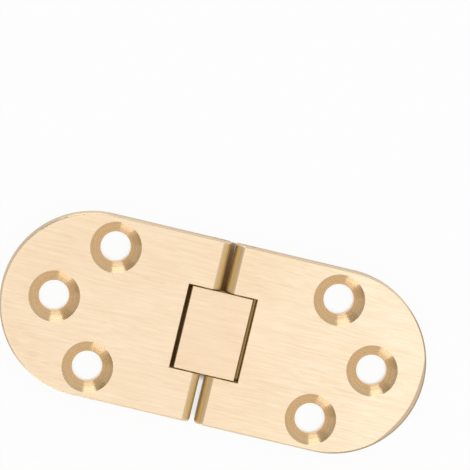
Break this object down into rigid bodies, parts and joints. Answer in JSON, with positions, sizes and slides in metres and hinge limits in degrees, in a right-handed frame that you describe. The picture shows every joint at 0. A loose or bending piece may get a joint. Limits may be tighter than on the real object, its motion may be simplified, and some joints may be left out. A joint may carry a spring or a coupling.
{
  "type": "flap hinge",
  "caption": "Flat brass flap hinge with round-ended leaves, countersunk screw holes and a loose link in the middle, folding over until the leaves lie face to face.",
  "frame": {"origin": "centre of the hinge's flat back, with the hinge open flat", "axes": "+X along the length, from the left leaf towards the right leaf; +Y across the width, along the pins; +Z out of the countersunk face"},
  "size_m": [0.082, 0.035, 0.0045],
  "materials": {
    "left_leaf": "satin brushed along the length",
    "right_leaf": "satin brushed along the length",
    "link": "satin brushed along the length",
    "pins": "drawn rod, ends turned"
  },
  "bodies": {
    "left_leaf": {"left_leaf": "left_leaf", "left_pin": "pins"},
    "link": {"link": "link"},
    "right_leaf": {"right_leaf": "right_leaf", "right_pin": "pins"}
  },
  "joints": [
    {"name": "left_pivot", "type": "hinge", "parent": "left_leaf", "child": "link", "pos_m": [-0.0029, 0, 0.00225], "axis": [0, -1, 0], "range_deg": [0, 90]},
    {"name": "right_pivot", "type": "hinge", "parent": "link", "child": "right_leaf", "pos_m": [0.0029, 0, 0.00225], "axis": [0, -1, 0], "range_deg": [0, 90]}
  ]
}
